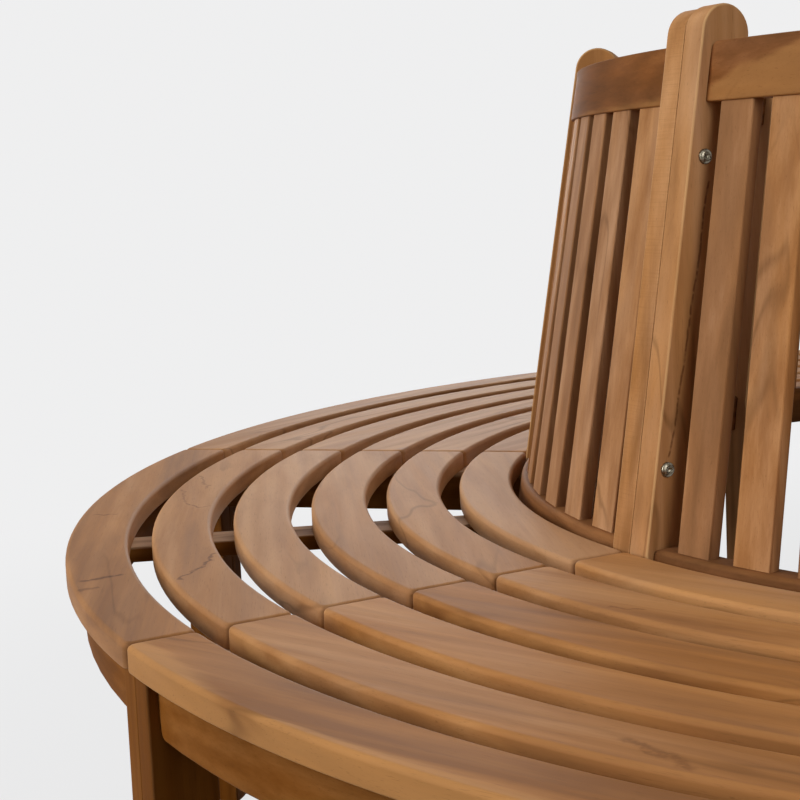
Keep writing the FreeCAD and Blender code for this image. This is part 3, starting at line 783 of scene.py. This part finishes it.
room = SECTION_ANGLE - 2 * half_angle(LEG_PAIR_WIDTH) - 2 * BACK_SLATS * half_angle(BACK_SLAT_WIDTH)
pitch = 2 * half_angle(BACK_SLAT_WIDTH) + room / (BACK_SLATS - 1 + 2 * END_SPACE_SHARE)
back = BACK_SLAT_FACE - BACK_SLAT_THICKNESS
under = TOP_RAIL_TOP - RAIL_HEIGHT
outline = [leaning(back, BOTTOM_RAIL_TOP), leaning(BACK_SLAT_FACE, BOTTOM_RAIL_TOP),
           leaning(BACK_SLAT_FACE, under), leaning(back, under)]
for section in range(SECTIONS):
    gathered = bmesh.new()
    for place in range(BACK_SLATS):
        board = side_board(outline, -BACK_SLAT_WIDTH / 2, BACK_SLAT_WIDTH)
        corners = sharp_edges(board, lambda at, along: abs(along.z) > 0.1)
        round_over(board, corners, BACK_SLAT_ROUNDING)
        chance = random.Random(f"back slat {section} {place}")
        finish_board(board, chance, "Z", SEEN_UPRIGHTS.get((section, place)))
        turn = (section + 0.5) * SECTION_ANGLE + (place - (BACK_SLATS - 1) / 2) * pitch
        add_board(gathered, board, Matrix.Rotation(turn, 4, "Z"))
    make_piece(gathered, f"upright_slats_{section + 1}", BACK_WOOD, [f"back_slats_{section + 1}"])


# ---------------------------------------------------------------------------------------------
# Joint bolts: two through each pair of posts, steel, with a low domed head 13 mm across and a
# hexagon socket on one side, and a matching domed nut on the other.

BOLT_HEAD_RADIUS = 0.0065
BOLT_HEAD_HEIGHT = 0.0035
SOCKET_RADIUS = 0.0024
SOCKET_DEPTH = 0.7  # of the head
HEAD_PROFILE = ((1.0, 0.25), (0.95, 0.52), (0.84, 0.77), (0.66, 0.94), (0.50, 1.0))  # out, up
BOLT_PLACES = [leaning(BACK_LEG_FACE - inset, SEAT_TOP + above)
               for inset, above in ((0.016, 0.330), (0.012, 0.070))]
STEEL_SHEENS = ((0.22,) * 3, (0.42,) * 3)
STEEL_COLOURS = ((0.14, 0.12, 0.08), (0.30, 0.27, 0.21))

STEEL = bpy.data.materials.new("fastener_steel")
STEEL.use_nodes = True
steel = STEEL.node_tree.nodes["Principled BSDF"]
steel.inputs["Metallic"].default_value = 1.0
dull = STEEL.node_tree.nodes.new("ShaderNodeTexNoise")
dull.inputs["Scale"].default_value = 700.0
dull.inputs["Detail"].default_value = 3.0
place = STEEL.node_tree.nodes.new("ShaderNodeTexCoord")
STEEL.node_tree.links.new(place.outputs["Object"], dull.inputs["Vector"])
for socket, ends in (("Roughness", STEEL_SHEENS), ("Base Color", STEEL_COLOURS)):
    shades = STEEL.node_tree.nodes.new("ShaderNodeValToRGB")
    shades.color_ramp.elements[0].position = 0.35
    shades.color_ramp.elements[1].position = 0.65
    for element, shade in zip(shades.color_ramp.elements, ends):
        element.color = (*shade, 1)
    STEEL.node_tree.links.new(dull.outputs["Fac"], shades.inputs["Fac"])
    STEEL.node_tree.links.new(shades.outputs["Color"], steel.inputs[socket])


def domed_head(side):
    """A button head with its socket, seated on the plane y = 0 and domed to the given side."""
    mesh = bmesh.new()
    rim = bmesh.ops.create_circle(mesh, cap_ends=False, segments=32, radius=BOLT_HEAD_RADIUS)
    loop = list({edge for vert in rim["verts"] for edge in vert.link_edges})
    base = list(loop)
    for share, rise in HEAD_PROFILE:
        made = bmesh.ops.extrude_edge_only(mesh, edges=loop)
        loop = newly_made(made, bmesh.types.BMEdge)
        for vert in newly_made(made, bmesh.types.BMVert):
            flat = Vector((vert.co.x, vert.co.y, 0)).normalized() * BOLT_HEAD_RADIUS * share
            vert.co = Vector((flat.x, flat.y, BOLT_HEAD_HEIGHT * rise))
    hexagon = bmesh.ops.create_circle(mesh, cap_ends=False, segments=6, radius=SOCKET_RADIUS)
    bmesh.ops.translate(mesh, verts=hexagon["verts"], vec=(0, 0, BOLT_HEAD_HEIGHT))
    inner = list({edge for vert in hexagon["verts"] for edge in vert.link_edges})
    bmesh.ops.bridge_loops(mesh, edges=loop + inner)
    made = bmesh.ops.extrude_edge_only(mesh, edges=inner)
    bmesh.ops.translate(mesh, verts=newly_made(made, bmesh.types.BMVert),
                        vec=(0, 0, -BOLT_HEAD_HEIGHT * SOCKET_DEPTH))
    bmesh.ops.holes_fill(mesh, edges=newly_made(made, bmesh.types.BMEdge))
    bmesh.ops.holes_fill(mesh, edges=base)
    bmesh.ops.recalc_face_normals(mesh, faces=mesh.faces)
    bmesh.ops.rotate(mesh, verts=mesh.verts, cent=(0, 0, 0),
                     matrix=Matrix.Rotation(-side * pi / 2, 3, "X"))
    return mesh


for name, side, node in (("bolt_heads", 1, "joint_bolts"), ("bolt_nuts", -1, "cap_nuts")):
    gathered = bmesh.new()
    for joint in range(SECTIONS):
        for radius, height in BOLT_PLACES:
            head = domed_head(side)
            seat = Matrix.Translation((radius, side * LEG_PAIR_WIDTH / 2, height))
            add_board(gathered, head, Matrix.Rotation(joint * SECTION_ANGLE, 4, "Z") @ seat)
    make_piece(gathered, name, STEEL, [node])


# ---------------------------------------------------------------------------------------------
# Floor, light and camera: a pale seamless floor and an even pale surround. A large soft lamp
# stands on the left in front of the bench and a smaller one above it, two weaker ones stand on
# the right, and one behind the bench.

SURROUND = (0.862, 0.862, 0.866)
SKY_COLOUR = (0.97, 0.985, 1.0, 1)
FAR_WALL_STRENGTH = 1.4
CEILING_STRENGTH = 0.33
FLOOR_RADIUS = 60.0
FLOOR_AS_LIT, FLOOR_AS_SEEN = (0.12, 0.11, 0.10), (0.80, 0.80, 0.80)
FADE_FROM, FADE_TO = 1.3, 2.6


def looking_rays(tree):
    """One for what is seen, straight, mirrored or through something clear, else nought."""
    rays = tree.nodes.new("ShaderNodeLightPath").outputs
    seen = add_math(tree, "MAXIMUM", rays["Is Camera Ray"], rays["Is Transmission Ray"])
    return add_math(tree, "MAXIMUM", seen, rays["Is Glossy Ray"])


world = bpy.data.worlds.new("surround")
context.scene.world = world
world.use_nodes = True
sky = world.node_tree
sky.nodes.clear()
aim = sky.nodes.new("ShaderNodeTexCoord")
way = sky.nodes.new("ShaderNodeSeparateXYZ")
sky.links.new(aim.outputs["Generated"], way.inputs[0])
strengths = []
for axis, strength in (("Y", FAR_WALL_STRENGTH), ("Z", CEILING_STRENGTH)):
    facing = add_math(sky, "POWER", add_math(sky, "MAXIMUM", way.outputs[axis], 0.0), 2.0)
    strengths.append(add_math(sky, "MULTIPLY", facing, strength))
lit, seen = (sky.nodes.new("ShaderNodeBackground") for part in range(2))
lit.inputs["Color"].default_value = SKY_COLOUR
sky.links.new(add_math(sky, "ADD", *strengths), lit.inputs["Strength"])
seen.inputs["Color"].default_value = (*SURROUND, 1)
choice = sky.nodes.new("ShaderNodeMixShader")
sky.links.new(looking_rays(sky), choice.inputs[0])
sky.links.new(lit.outputs[0], choice.inputs[1])
sky.links.new(seen.outputs[0], choice.inputs[2])
out = sky.nodes.new("ShaderNodeOutputWorld")
sky.links.new(choice.outputs[0], out.inputs["Surface"])

disc = bmesh.new()
bmesh.ops.create_circle(disc, cap_ends=True, segments=96, radius=FLOOR_RADIUS)
floor_data = bpy.data.meshes.new("floor")
disc.to_mesh(floor_data)
disc.free()
floor = bpy.data.objects.new("floor", floor_data)
context.collection.objects.link(floor)
FLOOR_PAINT = bpy.data.materials.new("floor_paint")
FLOOR_PAINT.use_nodes = True
ground = FLOOR_PAINT.node_tree
paint = ground.nodes["Principled BSDF"]
paint.inputs["Roughness"].default_value = 0.9
paint.inputs["Specular IOR Level"].default_value = 0.0
looked_at = looking_rays(ground)
grey = add_mix(ground, looked_at, FLOOR_AS_LIT, FLOOR_AS_SEEN)
ground.links.new(grey, paint.inputs["Base Color"])
glow = ground.nodes.new("ShaderNodeEmission")
glow.inputs["Color"].default_value = (*SURROUND, 1)
spot = ground.nodes.new("ShaderNodeTexCoord")
distance = ground.nodes.new("ShaderNodeVectorMath")
distance.operation = "LENGTH"
ground.links.new(spot.outputs["Object"], distance.inputs[0])
far = add_limits(ground, distance.outputs["Value"], FADE_FROM, FADE_TO, 0.85, 1.0)
choice = ground.nodes.new("ShaderNodeMixShader")
ground.links.new(add_math(ground, "MULTIPLY", far, looked_at), choice.inputs[0])
ground.links.new(paint.outputs[0], choice.inputs[1])
ground.links.new(glow.outputs[0], choice.inputs[2])
ground.links.new(choice.outputs[0], ground.nodes["Material Output"].inputs["Surface"])
floor.data.materials.append(FLOOR_PAINT)


def soft_lamp(name, place, towards, size, power):
    """A square area lamp that looks at a point."""
    lamp = bpy.data.lights.new(name, "AREA")
    lamp.shape = "SQUARE"
    lamp.size = size
    lamp.energy = power
    holder = bpy.data.objects.new(name, lamp)
    context.collection.objects.link(holder)
    holder.visible_camera = False
    holder.location = place
    holder.rotation_euler = (Vector(towards) - Vector(place)).to_track_quat("-Z", "Y").to_euler()


soft_lamp("left_lamp", (-5.0, -3.3, 2.2), (-0.4, -0.4, 0.5), 2.3, 180)
soft_lamp("upper_lamp", (-3.3, -2.2, 3.0), (-0.2, -0.2, 0.5), 1.8, 31)
soft_lamp("right_lamp", (1.5, -3.8, 1.5), (-0.2, -0.6, 0.4), 1.6, 18)
soft_lamp("high_lamp", (1.3, -2.3, 1.9), (0.1, -0.95, 0.45), 1.2, 22)
soft_lamp("far_lamp", (-1.9, 3.6, 1.25), (-0.7, 0.0, 0.44), 1.2, 21)

CAMERA_PLACE = (-0.24396, -1.76340, 0.75846)
CAMERA_TURNS = ((14.156, "Z"), (83.605, "X"), (-2.083, "Z"))

lens = bpy.data.cameras.new("camera")
lens.sensor_width = 36.0
lens.lens = 70.81
lens.shift_x = -0.13
lens.shift_y = -0.0575
lens.clip_end = 200.0
camera = bpy.data.objects.new("camera", lens)
context.collection.objects.link(camera)
stand = Matrix.Translation(CAMERA_PLACE)
for turn, axis in CAMERA_TURNS:
    stand = stand @ Matrix.Rotation(radians(turn), 4, axis)
camera.matrix_world = stand
context.scene.camera = camera
context.scene.view_settings.view_transform = "Standard"
